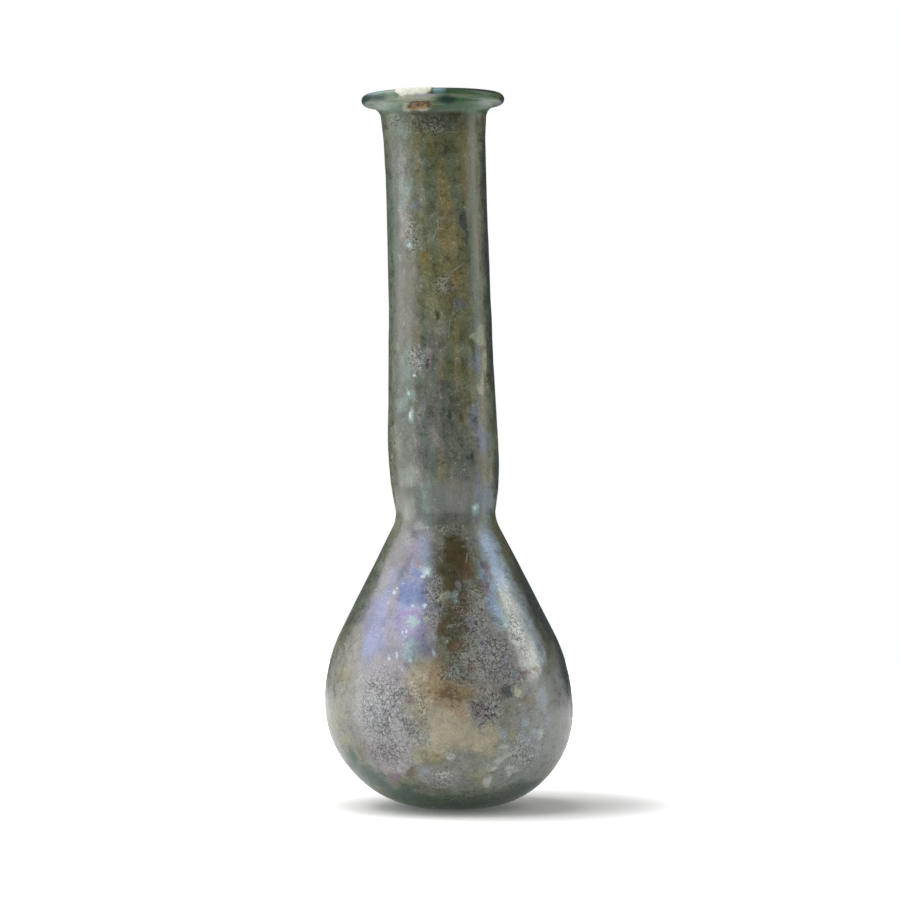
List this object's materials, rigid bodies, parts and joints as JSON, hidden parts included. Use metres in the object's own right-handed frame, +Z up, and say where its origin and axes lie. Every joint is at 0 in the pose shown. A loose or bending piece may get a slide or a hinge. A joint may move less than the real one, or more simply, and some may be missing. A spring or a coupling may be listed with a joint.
{
  "type": "roman glass unguentarium",
  "caption": "Free-blown glass flask with a pear-shaped body, a long neck pinched at its foot and a flat everted rim, for perfumed oil.",
  "frame": {"origin": "middle of the vessel's box on its base plane, below the widest place of the body", "axes": "+Z up along the neck, -Y towards the picture's viewer, +X to the viewer's right; the neck leans towards -X"},
  "size_m": [0.0488, 0.0488, 0.1402],
  "materials": {
    "weathered_glass": "green blown glass under a thin satin weathering film with lilac and blue iridescence, pitting and earthy crust"
  },
  "bodies": {
    "root": {"glass_vessel": "weathered_glass"}
  },
  "joints": []
}
